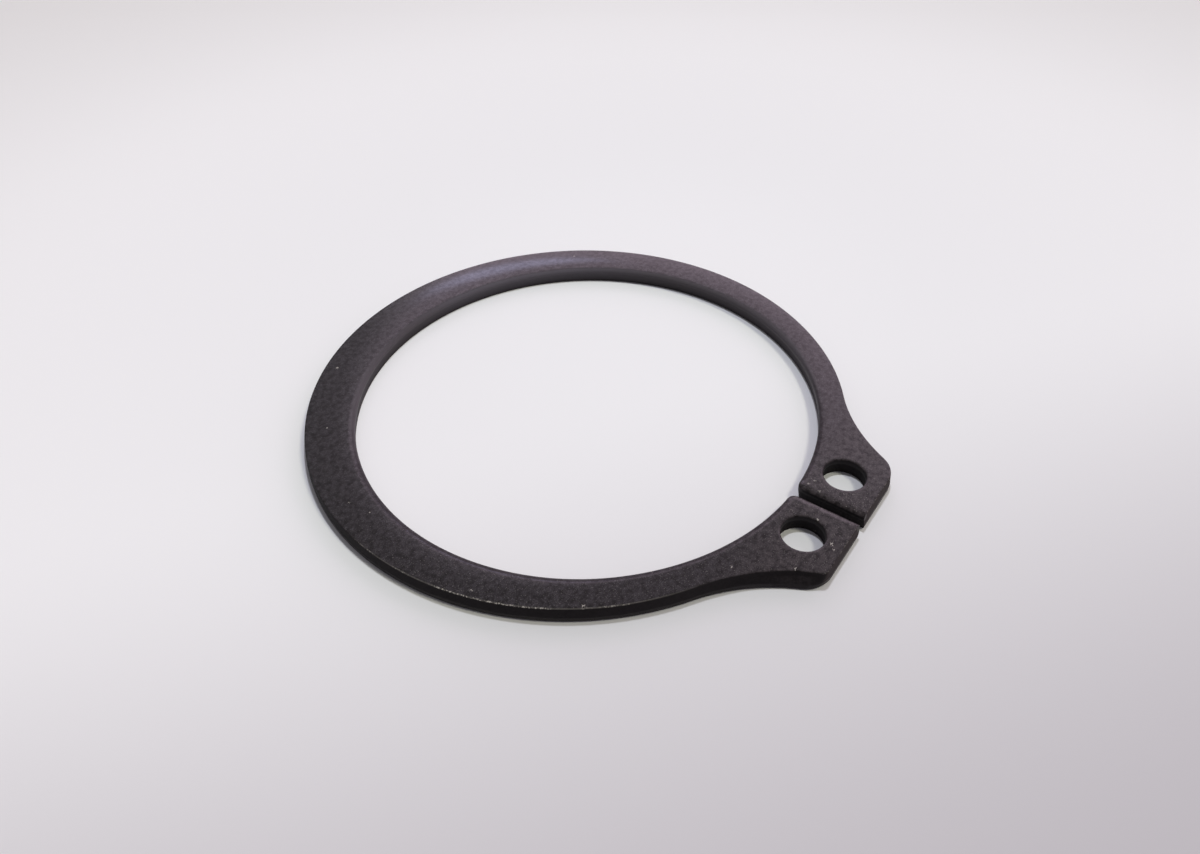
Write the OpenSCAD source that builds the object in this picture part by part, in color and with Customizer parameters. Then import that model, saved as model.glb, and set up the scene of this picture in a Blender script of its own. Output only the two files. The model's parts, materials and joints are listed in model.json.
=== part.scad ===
// External retaining ring (circlip) for a 38.1 mm shaft, stamped flat from spring steel.
//
// The band is bounded by two circles that don't share a centre, so it is widest opposite the gap
// and tapers evenly towards it, which keeps the ring round when it is sprung open. Hollow blends
// carry the narrow ends of the band out into two lugs, each with a hole for the tip of a pair of
// pliers. Every edge has the section that a stamping leaves. The bore, the gap and the holes are
// pierced from the top, so their edges are rolled over there and nearly square underneath. The
// outline is blanked the other way, so it is rolled over on the underside and nearly square on top.
//
// The origin is the centre of the bore on the underside. Z points up through the bore and the gap
// opens towards -Y. Lengths are in millimetres.

/* [Band] */
// Inside diameter of the free ring, off its shaft
inside_d = 35.2; // [33:0.1:38]
// Thickness of the sheet
sheet_t = 1.27; // [1:0.01:1.6]
// Width of the band opposite the gap
band_wide = 3.95; // [3.4:0.05:4.6]
// Width that the same two circles leave on the gap side, inside the lugs
band_narrow = 1.85; // [1.4:0.05:2.4]

/* [Lugs] */
// Height of the lugs, from the bore to their straight ends
lug_h = 4.85; // [4.6:0.05:5.4]
// Width across both lugs, over their outer corners
lug_span = 13.2; // [12.6:0.1:14.4]
// Radius of the outer corners
lug_corner_r = 2.1; // [1.6:0.1:2.8]
// Radius of the hollow blend from the band to a lug
blend_r = 13; // [10:0.5:16]

/* [Plier holes] */
// Diameter of each hole
hole_d = 3; // [2.4:0.1:3.2]
// Distance between the two hole centres
hole_pitch = 6.4; // [6:0.1:6.8]
// Distance from the hole centres to the straight ends of the lugs
hole_setback = 2.7; // [2.5:0.05:2.8]

/* [Gap] */
// Width of the gap between the lugs, with the ring free
gap_w = 0.9; // [0.7:0.05:1.3]
// Radius of the corners where the gap opens into the bore
gap_corner_r = 0.45; // [0.45:0.05:0.6]

/* [Stamped edges] */
// How far the roll-over reaches in from the edge of the outline, the bore and the gap
roll_w = 0.4; // [0.3:0.02:0.42]
// How far it drops
roll_h = 0.16; // [0.1:0.02:0.24]
// How far the roll-over reaches in from the edge of a plier hole
hole_roll_w = 0.2; // [0.1:0.02:0.3]
// How far that one drops
hole_roll_h = 0.08; // [0.04:0.01:0.12]
// Width of the slight break on the opposite edges
break_w = 0.06; // [0.04:0.01:0.1]

/* [Hidden] */
$fn = 96;
// Rounds that meet in a smooth line overlap by this hair, which makes one solid of them
seam = 0.005;
// Cutting tools reach past the faces by this much
over = 0.5;
// A roll-over's arc is laid in this many flats, each within a few microns of it
roll_flats = 3;

bore_r = inside_d / 2;
band_r = (inside_d + band_wide + band_narrow) / 2;
lug_reach = bore_r + lug_h;

// Centres, seen from above with the gap towards -Y; those off the middle line are the right-hand ones
band_c = [0, (band_wide - band_narrow) / 2];
lug_c = [lug_span / 2 - lug_corner_r, lug_corner_r - lug_reach - seam];
blend_c = outside_touch(band_c, band_r, lug_c, lug_corner_r, blend_r);
hole_c = [hole_pitch / 2, hole_setback - lug_reach];
gap_corner_x = gap_w / 2 + gap_corner_r - seam;
gap_corner_c = [gap_corner_x, -sqrt(pow(bore_r + gap_corner_r - seam, 2) - pow(gap_corner_x, 2))];

// Centre of a circle of radius r that rests against two others from outside, on their right-hand side
function outside_touch(c1, r1, c2, r2, r) =
    let (
        d1 = r1 + r - seam,
        d2 = r2 + r - seam,
        line = c2 - c1,
        d = norm(line),
        u = line / d,
        along = (d1 * d1 - d2 * d2 + d * d) / (2 * d),
        aside = sqrt(d1 * d1 - along * along)
    )
    c1 + along * u + aside * [-u[1], u[0]];

function flip(p) = [-p[0], p[1]];

// A roll-over as [distance in from the edge, height over the face]: its arc leaves the face smoothly,
// w in from the edge, and meets the wall at a height of h
function roll_over(w, h) =
    let (arc_r = (w * w + h * h) / (2 * h), sweep = asin(w / arc_r))
    [for (i = [0:roll_flats]) let (a = sweep * i / roll_flats) [w - arc_r * sin(a), arc_r * (1 - cos(a))]];

// Section of solid metal out to r: rolled over at the foot, broken at the top
module rim_section(r) {
    foot = [for (p = roll_over(roll_w, roll_h)) [r - p[0], p[1]]];
    polygon(concat([[0, 0]], foot, [[r, sheet_t - break_w], [r - break_w, sheet_t], [0, sheet_t]]));
}

// Section of an opening out to r: what it cuts is left rolled over at the foot and broken at the top
module opening_section(r, w = roll_w, h = roll_h) {
    foot = [for (p = roll_over(w, h)) [r + p[0], p[1]]];
    polygon(concat(
        [[0, -over], [r + w, -over]], foot,
        [[r, sheet_t - break_w], [r + break_w, sheet_t], [r + break_w, sheet_t + over], [0, sheet_t + over]]
    ));
}

module disc(c, r) {
    translate([c[0], c[1], 0]) rotate_extrude() rim_section(r);
}

module opening(c, r, w = roll_w, h = roll_h) {
    translate([c[0], c[1], 0]) rotate_extrude() opening_section(r, w, h);
}

// Turned over: what is pierced from the top has its roll-over there
module from_top() {
    translate([0, 0, sheet_t]) mirror([0, 0, 1]) children();
}

module both_sides() {
    children();
    mirror([1, 0, 0]) children();
}

// The straight ends of the lugs, from one rounded corner to the other
module lug_ends() {
    translate([lug_c[0], lug_corner_r - lug_reach, 0])
        rotate([90, 0, -90]) linear_extrude(2 * lug_c[0]) rim_section(lug_corner_r);
}

// The lugs' root, which the blends hollow out on both sides
module lug_root() {
    foot = lug_c - [0, lug_corner_r / 2];
    difference() {
        linear_extrude(sheet_t)
            polygon([band_c, blend_c, lug_c, foot, flip(foot), flip(lug_c), flip(blend_c)]);
        both_sides() opening(blend_c, blend_r);
    }
}

// The blank, before anything is pierced
module blank() {
    disc(band_c, band_r);
    lug_root();
    both_sides() disc(lug_c, lug_corner_r);
    lug_ends();
}

// The slot that parts the two lugs
module gap() {
    both_sides() translate([0, -bore_r / 2, 0])
        rotate([90, 0, 0]) linear_extrude(lug_reach) opening_section(gap_w / 2);
}

// Clears the square corners between gap and bore, where rounded ones go
module gap_corners_cut() {
    inner = gap_corner_c * (bore_r - over) / norm(gap_corner_c);
    translate([0, 0, -over]) linear_extrude(sheet_t + 2 * over)
        polygon([gap_corner_c, inner, flip(inner), flip(gap_corner_c)]);
}

module retaining_ring() {
    color([0.25, 0.23, 0.25]) {
        difference() {
            blank();
            from_top() opening([0, 0], bore_r);
            from_top() both_sides() opening(hole_c, hole_d / 2, hole_roll_w, hole_roll_h);
            from_top() gap();
            gap_corners_cut();
        }
        from_top() both_sides() disc(gap_corner_c, gap_corner_r);
    }
}

retaining_ring();
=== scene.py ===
import json
import math

import bmesh
import bpy
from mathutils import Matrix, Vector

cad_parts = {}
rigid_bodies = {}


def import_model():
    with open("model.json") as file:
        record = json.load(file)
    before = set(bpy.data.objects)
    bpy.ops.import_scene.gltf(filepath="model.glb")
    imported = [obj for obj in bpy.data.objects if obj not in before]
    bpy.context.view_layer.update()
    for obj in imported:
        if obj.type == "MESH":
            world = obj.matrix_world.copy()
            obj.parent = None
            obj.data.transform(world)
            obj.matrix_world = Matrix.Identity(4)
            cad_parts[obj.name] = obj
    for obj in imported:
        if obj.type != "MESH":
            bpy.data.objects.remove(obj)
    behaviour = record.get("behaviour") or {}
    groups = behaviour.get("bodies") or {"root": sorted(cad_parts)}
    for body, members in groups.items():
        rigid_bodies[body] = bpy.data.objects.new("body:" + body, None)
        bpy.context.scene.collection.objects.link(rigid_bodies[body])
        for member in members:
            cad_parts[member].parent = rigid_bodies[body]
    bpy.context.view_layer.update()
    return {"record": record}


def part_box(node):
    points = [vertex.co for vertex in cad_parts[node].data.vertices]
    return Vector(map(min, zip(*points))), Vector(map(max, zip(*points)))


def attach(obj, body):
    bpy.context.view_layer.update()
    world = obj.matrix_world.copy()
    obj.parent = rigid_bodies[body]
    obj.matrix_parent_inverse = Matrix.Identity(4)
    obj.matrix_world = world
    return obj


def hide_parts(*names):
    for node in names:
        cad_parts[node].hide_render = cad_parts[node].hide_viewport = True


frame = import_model()

# The camera looks down on the ring from the front left, about 65 mm from its middle, as the
# photograph does. Blender takes lengths in metres, so each is given as a number of millimetres times mm.
mm = 0.001
bpy.ops.object.select_all(action="DESELECT")
bpy.ops.object.camera_add(
    location=(-39.543 * mm, -30.672 * mm, 43.774 * mm),
    rotation=(math.radians(47.3633), math.radians(0.8784), math.radians(-54.1179)),
)
photo_camera = bpy.context.object
photo_camera.name = "photo_camera"
photo_camera.data.sensor_width = 36
photo_camera.data.lens = 25.627
photo_camera.data.clip_start = 1 * mm
bpy.context.scene.camera = photo_camera


class Wire:
    """A socket in a node tree. Arithmetic on wires and numbers adds Math nodes."""

    def __init__(self, tree, socket):
        self.tree = tree
        self.socket = socket

    def feed(self, socket, value):
        if isinstance(value, Wire):
            self.tree.links.new(value.socket, socket)
        else:
            socket.default_value = value

    def add(self, kind, output, settings=None, sockets=None):
        """Adds a node, makes its settings, feeds its sockets and gives back one of its outputs."""
        made = self.tree.nodes.new("ShaderNode" + kind)
        for name, value in (settings or {}).items():
            setattr(made, name, value)
        for name, value in (sockets or {}).items():
            self.feed(made.inputs[name], value)
        return Wire(self.tree, made.outputs[output])

    def other(self, output):
        """Another output of the node that this wire comes from."""
        return Wire(self.tree, self.socket.node.outputs[output])

    def maths(self, operation, *values):
        """A Math node of that operation on wires and numbers."""
        return self.add("Math", 0, {"operation": operation}, dict(enumerate(values)))

    def __add__(self, other):
        return self.maths("ADD", self, other)

    def __radd__(self, other):
        return self.maths("ADD", other, self)

    def __sub__(self, other):
        return self.maths("SUBTRACT", self, other)

    def __rsub__(self, other):
        return self.maths("SUBTRACT", other, self)

    def __mul__(self, other):
        return self.maths("MULTIPLY", self, other)

    def __rmul__(self, other):
        return self.maths("MULTIPLY", other, self)

    def __truediv__(self, other):
        return self.maths("DIVIDE", self, other)

    def __rtruediv__(self, other):
        return self.maths("DIVIDE", other, self)

    def __neg__(self):
        return self.maths("MULTIPLY", self, -1)

    def __abs__(self):
        return self.maths("ABSOLUTE", self)

    def above(self, start, full):
        """0 up to start, 1 from full, and smooth between; start may be the greater of the two."""
        settings = {"interpolation_type": "SMOOTHSTEP"}
        if start < full:
            sockets = {"Value": self, "From Min": start, "From Max": full}
            return self.add("MapRange", "Result", settings, sockets)
        sockets = {"Value": self, "From Min": full, "From Max": start, "To Min": 1, "To Max": 0}
        return self.add("MapRange", "Result", settings, sockets)

    def blend(self, low, high):
        """A colour that goes from low to high as this wire goes from 0 to 1."""
        settings = {"data_type": "RGBA"}
        return self.add("Mix", 2, settings, {0: self, 6: low, 7: high})

    def surface(self, kind="OutputMaterial"):
        """Ends the tree: this shader is what shows."""
        made = self.tree.nodes.new("ShaderNode" + kind)
        self.tree.links.new(self.socket, made.inputs["Surface"])


def new_material(name):
    """An empty procedural material, and a wire to start its tree from."""
    made = bpy.data.materials.new(name)
    made.use_nodes = True
    made.node_tree.nodes.clear()
    return made, Wire(made.node_tree, None)


# The table top is a plain sheet of matt white card, far larger than the view. The ring lies flat on
# it and throws soft shadows on it. Its colour carries painted shade, greyer near the camera, and painted
# light, whiter far from the lamp where the lamp's own light falls off.
bpy.ops.mesh.primitive_plane_add(size=2, location=(0, 0, 0))
table_top = bpy.context.object
table_top.name = "table_top"
card, wire = new_material("white_card")
on_card = wire.add("TexCoord", "Object")
white = (0.87, 0.87, 0.87, 1)
painted_light_white = (0.97, 0.97, 0.97, 1)
painted_shade_grey = (0.57, 0.55, 0.57, 1)
near_way = (-0.6 / mm, -0.8 / mm, 0)
nearness = wire.add("VectorMath", "Value", {"operation": "DOT_PRODUCT"}, {0: on_card, 1: near_way})
lamp_x = 18 * mm
lamp_y = 5 * mm
under_lamp = (lamp_x, lamp_y, 0)
away = wire.add("VectorMath", "Value", {"operation": "DISTANCE"}, {0: on_card, 1: under_lamp})
# Painted light: the card is whiter further from the lamp, where its light falls off.
pale = away.above(20 * mm, 75 * mm).blend(white, painted_light_white)
# Painted shade: the card's colour turns greyer towards the camera.
card_colour = nearness.above(0, 46).blend(pale, painted_shade_grey)
matt = wire.add("BsdfDiffuse", "BSDF", None, {"Color": card_colour})
matt.surface()
table_top.data.materials.append(card)

# A small, slightly cool lamp hangs over the far side of the band, so it throws no shadow there and a
# short one from the near left. A warmer one shines in from the right. The rest comes from the studio
# round the ring: pale low down behind it, dim higher up, with one cooler panel low at the back.
bpy.ops.object.light_add(type="POINT", location=(lamp_x, lamp_y, 123 * mm))
high_lamp = bpy.context.object
high_lamp.name = "high_lamp"
high_lamp.data.energy = 0.24
high_lamp.data.color = (0.88, 0.91, 1)
high_lamp.data.shadow_soft_size = 5 * mm
high_lamp.visible_glossy = False
bpy.ops.object.light_add(type="SUN", rotation=(0, math.radians(28), math.radians(-60)))
side_lamp = bpy.context.object
side_lamp.name = "side_lamp"
side_lamp.data.energy = 0.88
side_lamp.data.color = (1, 1, 0.82)
side_lamp.data.angle = math.radians(12)
side_lamp.visible_glossy = False

studio = bpy.data.worlds.new("studio")
studio.use_nodes = True
studio.node_tree.nodes.clear()
bpy.context.scene.world = studio
wire = Wire(studio.node_tree, None)
towards = wire.add("TexCoord", "Generated")
east = wire.add("SeparateXYZ", "X", None, {0: towards})
north = east.other("Y")
rise = east.other("Z")
in_degrees = 180 / math.pi
compass = wire.maths("ARCTAN2", north, east) * in_degrees
height = wire.maths("ARCSINE", rise) * in_degrees
view_way = math.radians(38)
behind = (east * math.cos(view_way) + north * math.sin(view_way)).above(-0.5, 0.5)
low_right = compass.above(58, 47) * compass.above(-110, -10) * height.above(51, 37)
across_panel = (compass - 43.5) / 8
up_panel = (height + 0.15 * compass - 38) / 3.2
panel = (across_panel * across_panel + up_panel * up_panel).above(1.4, 0.1)
glow = 0.16 + 0.14 * behind + low_right
violet_white = (0.95, 0.92, 1, 1)
rose_white = (1, 0.81, 0.97, 1)
cool_blue = (0.8, 0.85, 1.3, 1)
tint = low_right.blend(violet_white, rose_white)
room = wire.add("Background", "Background", None, {"Color": tint, "Strength": glow})
cool = wire.add("Background", "Background", None, {"Color": cool_blue, "Strength": 2.0 * panel})
both = wire.add("AddShader", 0, None, {0: room, 1: cool})
both.surface("OutputWorld")

# The ring is one piece of spring steel, stamped from sheet. Its outline was blanked one way and its
# bore, gap and plier holes were pierced the other, so the section of the outside edge, rolled under
# at the foot, turns over at the corners of the gap into one that is rolled at the top.
record = frame["record"]
mounts = {mount["name"]: mount for mount in record["mounts"]}
bore_r = mounts["shaft_seat"]["dims"]["r_mm"] * mm
hole_r = mounts["plier_hole_right"]["dims"]["r_mm"] * mm
hole_x, hole_y = mounts["plier_hole_right"]["pos_m"][:2]
ring_low, ring_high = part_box("retaining_ring")
sheet_t = ring_high.z
band_r = ring_high.x
band_y = ring_high.y - ring_high.x
lug_end = ring_low.y
lug_corner_r = 2.1 * mm
lug_x = 4.5 * mm
lug_y = lug_end + lug_corner_r
blend_r = 13 * mm
gap_x = 0.45 * mm
gap_corner_r = 0.45 * mm
gap_corner_x = gap_x + gap_corner_r
gap_corner_y = -math.sqrt((bore_r + gap_corner_r) ** 2 - gap_corner_x ** 2)
roll_w = 0.4 * mm
foot_roll_h = 0.12 * mm
head_roll_w = 0.48 * mm
head_roll_h = 0.18 * mm
margin = 0.1 * mm
step = 0.2 * mm

# The blend rests against the band and the lug's corner from outside
across = math.hypot(lug_x, lug_y - band_y)
to_band = band_r + blend_r
to_lug = lug_corner_r + blend_r
along = (to_band ** 2 - to_lug ** 2 + across ** 2) / (2 * across)
aside = math.sqrt(to_band ** 2 - along ** 2)
lug_way = (lug_x / across, (lug_y - band_y) / across)
blend_x = along * lug_way[0] - aside * lug_way[1]
blend_y = band_y + along * lug_way[1] + aside * lug_way[0]
band_stop = math.atan2(blend_y - band_y, blend_x)
lug_start = math.atan2(blend_y - lug_y, blend_x - lug_x)
bore_stop = math.atan2(
    band_y + band_r * math.sin(band_stop),
    band_r * math.cos(band_stop),
)
bore_start = math.atan2(gap_corner_y, gap_corner_x)

# Heights that both sections share, then how far each stands in from the nominal edge at each
roll_turns = [math.radians(18 * turn) for turn in range(6)]
foot = [foot_roll_h * (1 - math.cos(turn)) for turn in roll_turns]
head = [sheet_t - head_roll_h * (1 - math.cos(turn)) for turn in reversed(roll_turns)]
heights = [0] + foot + [0.45 * mm, 0.8 * mm] + head + [sheet_t]
rolled = [roll_w * (1 - math.sin(turn)) for turn in roll_turns]
head_rolled = [head_roll_w * (1 - math.sin(turn)) for turn in reversed(roll_turns)]
blanked_proud = 0.05 * mm
pierced_proud = 0.10 * mm
outside = (
    [roll_w + margin] + [reach - blanked_proud for reach in rolled]
    + [-blanked_proud, -0.005 * mm]
    + [0.035 * mm, 0.043 * mm, 0.052 * mm, 0.064 * mm, 0.086 * mm, 0.115 * mm]
    + [0.115 * mm + margin]
)
inside = (
    [0.11 * mm + margin]
    + [0.11 * mm, 0.09 * mm, 0.075 * mm, 0.06 * mm, 0.048 * mm, 0.036 * mm]
    + [-0.03 * mm, -0.085 * mm]
    + [reach - pierced_proud for reach in head_rolled]
    + [0.43 * mm]
)


def draw_section(points):
    """Turns the plane that is selected into a chain of vertices through the points, left selected."""
    bpy.ops.mesh.merge(type="CENTER")
    bpy.ops.transform.translate(value=points[0])
    for here, there in zip(points, points[1:]):
        move = [b - a for a, b in zip(here, there)]
        bpy.ops.mesh.extrude_region_move(TRANSFORM_OT_translate={"value": move})
    bpy.ops.mesh.select_linked()


def sweep(x, y, turn, radius):
    """Carries the selected section round an upright axis; a positive turn goes round to the right."""
    steps = math.ceil(abs(turn) * radius / step)
    bpy.ops.mesh.spin(steps=steps, angle=turn, center=(x, y, 0), axis=(0, 0, 1))


def choose(wanted):
    """Selects the ring's vertices whose place is wanted, and nothing else."""
    shape = bmesh.from_edit_mesh(ring.data)
    bpy.ops.mesh.select_all(action="DESELECT")
    for vertex in shape.verts:
        vertex.select_set(wanted(vertex.co))
    shape.select_flush(True)
    bmesh.update_edit_mesh(ring.data)


bpy.ops.object.select_all(action="DESELECT")
bpy.ops.mesh.primitive_plane_add(size=1 * mm, location=(0, 0, 0))
ring = bpy.context.object
ring.name = "ring_body"
ring.data.name = "ring_body"
bpy.ops.object.mode_set(mode="EDIT")
draw_section([(0, ring_high.y - reach, z) for reach, z in zip(outside, heights)])
band_steps = math.ceil((math.pi / 2 - band_stop) * band_r / step)
bpy.ops.mesh.spin(steps=band_steps, angle=math.pi / 2 - band_stop, center=(0, band_y, 0), axis=(0, 0, 1))
sweep(blend_x, blend_y, -(lug_start - band_stop), blend_r)
sweep(lug_x, lug_y, lug_start + math.pi / 2, lug_corner_r)
short_of = 1 * mm
bpy.ops.mesh.extrude_region_move(
    TRANSFORM_OT_translate={"value": (gap_x + short_of - lug_x, 0, 0)}
)

# Outer corner of the gap: the two sections meet in a mitre, each point at its own height
bpy.ops.mesh.extrude_region_move(TRANSFORM_OT_translate={"value": (-short_of, 0, 0)})
shape = bmesh.from_edit_mesh(ring.data)
mitre = [vertex for vertex in shape.verts if vertex.select]
for vertex in mitre:
    misses = [
        abs(vertex.co.y - lug_end - reach) + abs(vertex.co.z - z)
        for reach, z in zip(outside, heights)
    ]
    vertex.co.x += inside[misses.index(min(misses))]
bmesh.update_edit_mesh(ring.data)
bpy.ops.mesh.extrude_region_move(TRANSFORM_OT_translate={"value": (0, short_of, 0)})
shape = bmesh.from_edit_mesh(ring.data)
for vertex in [vertex for vertex in shape.verts if vertex.select]:
    vertex.co.y = lug_end + short_of
bmesh.update_edit_mesh(ring.data)
bpy.ops.mesh.extrude_region_move(
    TRANSFORM_OT_translate={"value": (0, gap_corner_y - lug_end - short_of, 0)}
)
sweep(gap_corner_x, gap_corner_y, -bore_start, gap_corner_r)
sweep(0, 0, -(bore_stop - bore_start), bore_r)
bpy.ops.mesh.spin(steps=band_steps, angle=bore_stop - math.pi / 2, center=(0, 0, 0), axis=(0, 0, 1))

# Plier hole, pierced with a smaller roll
hole_roll_w = 0.16 * mm
hole_roll_h = 0.08 * mm
hole_proud = 0.04 * mm
hole_heights = [0, 0, 0.02 * mm, 0.06 * mm, 0.35 * mm, 0.75 * mm]
hole_reach = [0.16 * mm, 0.06 * mm, 0.03 * mm, 0.02 * mm, 0.01 * mm, -hole_proud]
for turn in reversed(roll_turns):
    hole_heights.append(sheet_t - hole_roll_h * (1 - math.cos(turn)))
    hole_reach.append(hole_roll_w * (1 - math.sin(turn)) - hole_proud)
hole_heights.append(sheet_t)
hole_reach.append(hole_roll_w + margin)
bpy.ops.mesh.select_all(action="DESELECT")
bpy.ops.mesh.primitive_plane_add(size=1 * mm, location=(0, 0, 0))
draw_section([(hole_x + hole_r + reach, hole_y, z) for reach, z in zip(hole_reach, hole_heights)])
bpy.ops.mesh.spin(steps=72, angle=2 * math.pi, center=(hole_x, hole_y, 0), axis=(0, 0, 1))
bpy.ops.mesh.select_all(action="SELECT")
bpy.ops.mesh.remove_doubles(threshold=0.001 * mm)

# The band's top and underside close the space between its two edges
hair = 0.002 * mm
hair_turn = 0.0005
for z, outer_reach, inner_reach in ((0, outside[0], inside[0]), (sheet_t, outside[-1], inside[-1])):
    def on_band(place, z=z, outer_reach=outer_reach, inner_reach=inner_reach):
        if abs(place.z - z) > hair:
            return False
        if abs(math.hypot(place.x, place.y - band_y) - band_r + outer_reach) < hair:
            return math.atan2(place.y - band_y, place.x) > band_stop - hair_turn
        if abs(math.hypot(place.x, place.y) - bore_r - inner_reach) < hair:
            return math.atan2(place.y, place.x) > bore_stop - hair_turn
        return False
    choose(on_band)
    bpy.ops.mesh.bridge_edge_loops(number_cuts=9, interpolation="LINEAR")

# The lug's two faces fill what is left, round the hole
for z in (0, sheet_t):
    bpy.ops.mesh.select_all(action="DESELECT")
    shape = bmesh.from_edit_mesh(ring.data)
    for edge in shape.edges:
        places = [vertex.co for vertex in edge.verts]
        level = all(abs(place.z - z) < hair for place in places)
        edge.select_set(edge.is_boundary and level and max(place.x for place in places) > hair)
    bmesh.update_edit_mesh(ring.data)
    bpy.ops.mesh.fill(use_beauty=True)

# The top of the band is very slightly crowned, but not near the lugs
crown = 0.07 * mm
crowned_depth = 0.26 * mm
fade_degrees = 30
shape = bmesh.from_edit_mesh(ring.data)
for vertex in shape.verts:
    spot = vertex.co
    over = band_r - math.hypot(spot.x, spot.y - band_y)
    under = math.hypot(spot.x, spot.y) - bore_r
    way = math.degrees(math.atan2(spot.y, spot.x))
    if spot.z > sheet_t - crowned_depth and way > math.degrees(bore_stop):
        share = max(-1, min(1, (over - under) / (over + under)))
        fade = min(1, (way - math.degrees(bore_stop)) / fade_degrees)
        spot.z -= crown * share ** 2 * fade * fade * (3 - 2 * fade)
bmesh.update_edit_mesh(ring.data)

# The left half is the right half's mirror image
bpy.ops.mesh.select_all(action="SELECT")
bpy.ops.mesh.duplicate()
bpy.ops.transform.resize(value=(-1, 1, 1), center_override=(0, 0, 0))
bpy.ops.mesh.select_all(action="SELECT")
bpy.ops.mesh.remove_doubles(threshold=0.001 * mm)
bpy.ops.mesh.normals_make_consistent(inside=False)

# The left lug's outer side broke away with more slant, which also leaves its top corner tighter.
# The corner turns by half to each side of its middle; share runs from 0 to 1 along the blend.
slant = 0.4 * mm
slant_foot = 0.2 * mm
slant_rise = 0.8 * mm
edge_zone = 0.6 * mm
tight_r = 0.5 * mm
half = (lug_start + math.pi / 2) / 2
middle = (lug_start - math.pi / 2) / 2
tight_out = (lug_corner_r - tight_r) / math.cos(half)
tight_turn = math.atan2(tight_r * math.sin(half), tight_out + tight_r * math.cos(half))
shape = bmesh.from_edit_mesh(ring.data)
for vertex in shape.verts:
    lift = max(0, min(1, (vertex.co.z - slant_foot) / slant_rise))
    lift = lift * lift * (3 - 2 * lift)
    dx = -vertex.co.x - lug_x
    dy = vertex.co.y - lug_y
    turn = abs(math.atan2(dy, dx) - middle)
    reach = math.hypot(dx, dy)
    from_blend = math.hypot(-vertex.co.x - blend_x, vertex.co.y - blend_y)
    toward = math.atan2(blend_y - vertex.co.y, blend_x + vertex.co.x)
    share = (toward - band_stop) / (lug_start - band_stop)
    if turn < half and abs(reach - lug_corner_r) < edge_zone:
        corner = lug_corner_r / math.cos(half - turn)
        if turn < tight_turn:
            corner = tight_out * math.cos(turn)
            corner += math.sqrt(tight_r ** 2 - (tight_out * math.sin(turn)) ** 2)
        push = (corner - lug_corner_r) * lift / reach
        vertex.co.x += slant * lift - dx * push
        vertex.co.y += dy * push
    elif 0 < share <= 1.001 and abs(from_blend - blend_r) < edge_zone:
        share = min(1, share)
        vertex.co.x += slant * lift * share ** 2 * (3 - 2 * share)
bmesh.update_edit_mesh(ring.data)
bpy.ops.object.mode_set(mode="OBJECT")
bpy.ops.object.shade_smooth_by_angle(angle=math.radians(38))

# Its finish is a dark phosphate coat with a film of oil. The coat is finely mottled between brown and
# violet black, dull and torn where the punch broke through, and smooth where it sheared. The outer
# edge of the top face is worn bright in dots along the near left.
phosphate, wire = new_material("phosphated_steel")
on_ring = wire.add("TexCoord", "Object")
place = wire.add("VectorMath", 0, {"operation": "SCALE"}, {0: on_ring, "Scale": 1 / mm})
x = wire.add("SeparateXYZ", "X", None, {0: place})
y = x.other("Y")
z = x.other("Z")


def grain(size, detail=2.0, roughness=0.5, squash=None):
    """Noise with features of about that size in millimetres, from 0 to 1."""
    where = place
    if squash:
        where = wire.add("VectorMath", 0, {"operation": "MULTIPLY"}, {0: place, 1: squash})
    sockets = {"Vector": where, "Scale": 1 / size, "Detail": detail, "Roughness": roughness}
    return wire.add("TexNoise", 0, None, sockets)


def distance(to_x, to_y):
    """Distance in millimetres from an upright line through that place."""
    dx = x - to_x
    dy = y - to_y
    return wire.maths("SQRT", dx * dx + dy * dy)


facing_up = wire.add("SeparateXYZ", "Z", None, {0: on_ring.other("Normal")})
wall = 1 - abs(facing_up).above(0.25, 0.8)
from_bore = distance(0, 0)
from_right_hole = distance(hole_x / mm, hole_y / mm)
from_left_hole = distance(-hole_x / mm, hole_y / mm)
from_hole = wire.maths("MINIMUM", from_right_hole, from_left_hole)
pierced = 1 - from_bore.above(17.9, 18.1) * abs(x).above(0.7, 0.9) * from_hole.above(1.65, 1.75)
from_top = sheet_t / mm - z
sheared_depth = pierced * from_top + (1 - pierced) * z
torn_line = 0.42 + 0.16 * (grain(0.9, 3) - 0.5)
torn = wall * (sheared_depth - torn_line).above(-0.04, 0.04)

mottle = grain(0.42, 6, 0.7)
fine = grain(0.09, 2)
blotch = grain(4.5, 2)
brown_black = (0.007, 0.006, 0.005, 1)
violet_black = (0.028, 0.024, 0.026, 1)
crystal_grey = (0.050, 0.046, 0.050, 1)
sheared_black = (0.009, 0.008, 0.008, 1)
spots = mottle.above(0.34, 0.66)
colour = spots.blend(brown_black, violet_black)
colour = (fine.above(0.48, 0.72) * mottle.above(0.35, 0.6)).blend(colour, crystal_grey)
colour = (wall * 0.85).blend(colour, sheared_black)

# In the bore the coat is greyer on its steep walls, with painted light on its far half; the lugs are
# browner
dry_grey = (0.068, 0.061, 0.066, 1)
painted_light_far_grey = (0.092, 0.084, 0.096, 1)
lug_brown = (0.056, 0.045, 0.043, 1)
painted_light_end_brown = (0.040, 0.030, 0.029, 1)
gap_way = abs(x).above(1.2, 0.95) * y.above(0, -1)
in_bore = from_bore.above(18.05, 17.7) * (1 - gap_way)
steep = facing_up.above(0.95, 0.6)
# Painted light: on the bore's far half the grey spreads from the steep walls over the rolled edge.
bore_grey_and_painted_light = steep + (1 - steep) * (x + y).above(-9, 6)
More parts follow.
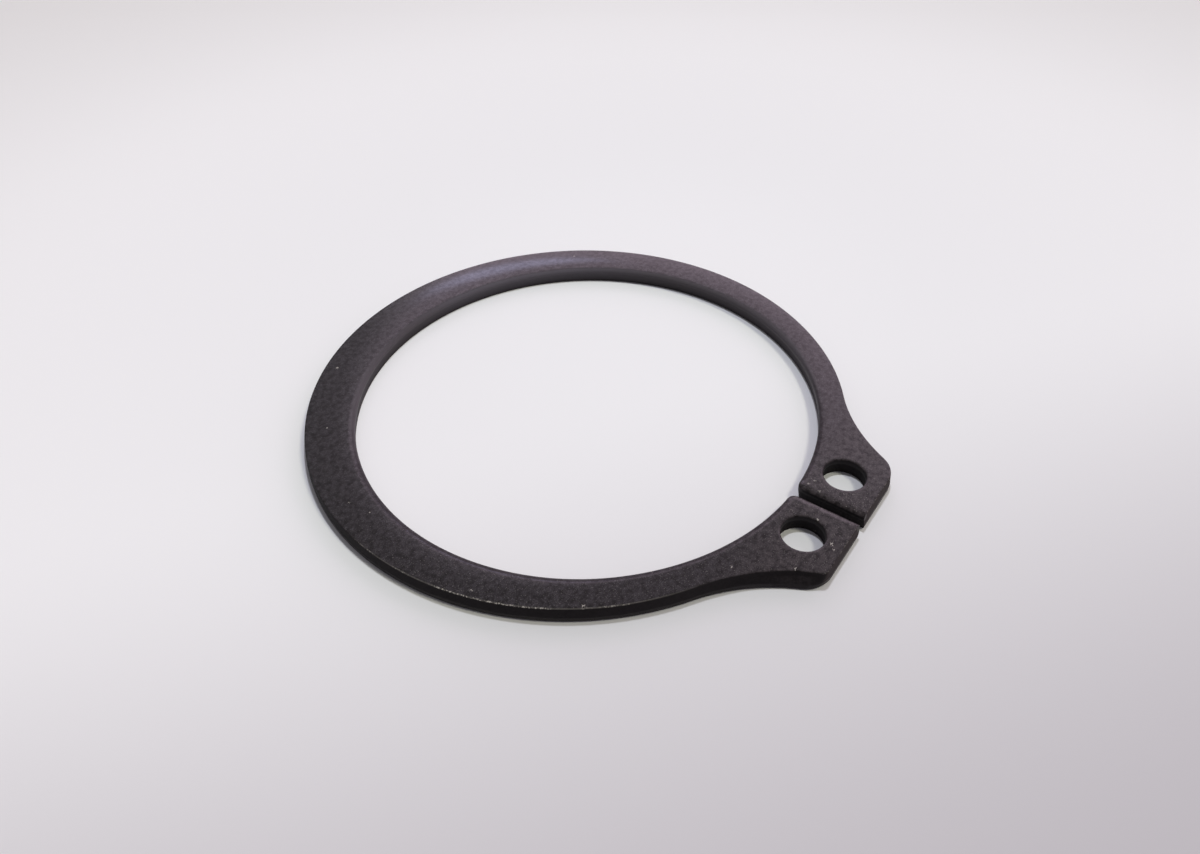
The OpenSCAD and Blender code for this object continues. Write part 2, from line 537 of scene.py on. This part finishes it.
# Painted light: the bore's far wall is paler still.
bore_colour_with_painted_light = (y.above(3, 14) * x.above(-2, 6)).blend(dry_grey, painted_light_far_grey)
colour = (in_bore * bore_grey_and_painted_light * z.above(-0.4, 1.15) * 0.9).blend(colour, bore_colour_with_painted_light)
on_lugs = y.above(-16, -19) * (1 - wall)
colour = (on_lugs * spots * 0.45).blend(colour, lug_brown)
# Painted light: the lugs' straight end walls are painted a paler brown than the other walls, where the
# side lamp falls on them.
facing_out = wire.add("SeparateXYZ", "Y", None, {0: on_ring.other("Normal")}).above(-0.8, -0.97)
end_walls_with_painted_light = facing_out * y.above(-21.9, -22.2)
colour = (end_walls_with_painted_light * (0.4 + 0.5 * mottle)).blend(colour, painted_light_end_brown)

# The torn metal is rougher. The film of oil is thin on it and on the rolled edges, and thinnest along
# the near half of the bore's.
roughness = 0.50 + 0.16 * (mottle - 0.5) + 0.16 * (fine - 0.5) + 0.35 * torn
oil = 0.78 + 0.4 * (blotch - 0.5) + 1.3 * (mottle - 0.5) + 0.5 * (fine - 0.5)
oil = oil * (1 - 0.85 * wall) * (0.15 + 0.85 * abs(facing_up).above(0.93, 0.993))
dull_rim = in_bore * (x + y).above(-3, -12) * facing_up.above(0.995, 0.985)
oil = oil * (1 - 0.9 * dull_rim)

# Where it is worn: most in dots round 205 degrees, fainter along the rest of the near left edge and
# the straight ends of the lugs
worn_way = math.radians(205)
from_middle_y = y - band_y / mm
turned_x = x * math.cos(worn_way) + from_middle_y * math.sin(worn_way)
turned_y = from_middle_y * math.cos(worn_way) - x * math.sin(worn_way)
way = wire.maths("ARCTAN2", turned_y, turned_x) * in_degrees
tilt = facing_up.above(0.985, 0.95) * facing_up.above(0.15, 0.4)
on_edge = tilt * z.above(1.12, 1.17) * (1 - pierced)
near_left = way.above(-36, -22) * way.above(38, 22)
most = way.above(-15, -11) * way.above(9, 4)
lug_ends = y.above(-22, -22.2)
dots = grain(0.13, 2, 0.6).above(0.50, 0.60)
patches = grain(1.6, 1).above(0.45, 0.6)
worn = near_left * (0.12 + 0.45 * dots * patches + most * dots) + lug_ends * dots * 0.12
worn = on_edge * wire.maths("MINIMUM", worn, 1)

# Small pale specks and chips, as (x, y, radius) in millimetres and how pale each is
specks = (
    (-8.9, 18.3, 0.11, 0.6),
    (-14.2, 13.4, 0.06, 0.6),
    (-18.3, 6.4, 0.05, 0.6),
    (-18.1, 4.6, 0.05, 0.6),
    (-18.9, -5.2, 0.07, 0.6),
    (-15.9, -11.5, 0.11, 0.6),
    (-3.0, -21.6, 0.12, 0.7),
    (-3.3, -21.9, 0.07, 0.7),
    (-6.1, -20.6, 0.08, 0.5),
    (-1.6, -20.0, 0.07, 0.5),
    (1.0, -18.1, 0.08, 0.3),
    (1.5, -18.3, 0.09, 0.35),
    (0.8, -19.0, 0.08, 0.25),
    (15.3, 12.8, 0.09, 0.3),
    (-8.2, -17.3, 0.07, 0.5),
)
ragged = 0.5 * (grain(0.1, 2) - 0.5)
for speck_x, speck_y, speck_r, paleness in specks:
    spot = (distance(speck_x, speck_y) + ragged).above(0.85 * speck_r, 0.3 * speck_r)
    worn = wire.maths("MAXIMUM", worn, paleness * spot)

# Fine dust shows beside the gap and on the near side of the band
beside_gap = y.above(-16.5, -18) * abs(x).above(3.2, 0.6)
near_side = (-x - y).above(8, 22) * 0.6
dusty = wire.maths("MINIMUM", beside_gap + near_side, 1)
dust = grain(0.07, 1).above(0.66, 0.74) * dusty * 0.32
worn = wire.maths("MAXIMUM", worn, dust * facing_up.above(0.9, 0.98))
bare_steel = (0.62, 0.58, 0.52, 1)
colour = worn.blend(colour, bare_steel)
roughness = roughness * (1 - worn) + 0.36 * worn
relief = fine + 0.6 * mottle + 1.5 * torn * grain(0.12, 3, 0.7, (1, 1, 0.4))
bump = wire.add("Bump", 0, None, {"Height": relief, "Strength": 0.6, "Distance": 0.012 * mm})
steel = wire.add(
    "BsdfPrincipled",
    "BSDF",
    None,
    {
        "Base Color": colour,
        "Roughness": roughness,
        "Metallic": worn * 0.3,
        "Coat Weight": oil,
        "Coat Roughness": 0.12,
        "Specular IOR Level": 0.2,
        "Specular Tint": (1, 0.84, 0.96, 1),
        "Normal": bump,
    },
)
steel.surface()
ring.data.materials.append(phosphate)

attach(ring, "root")
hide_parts("retaining_ring")

bpy.context.scene.view_settings.view_transform = "Standard"
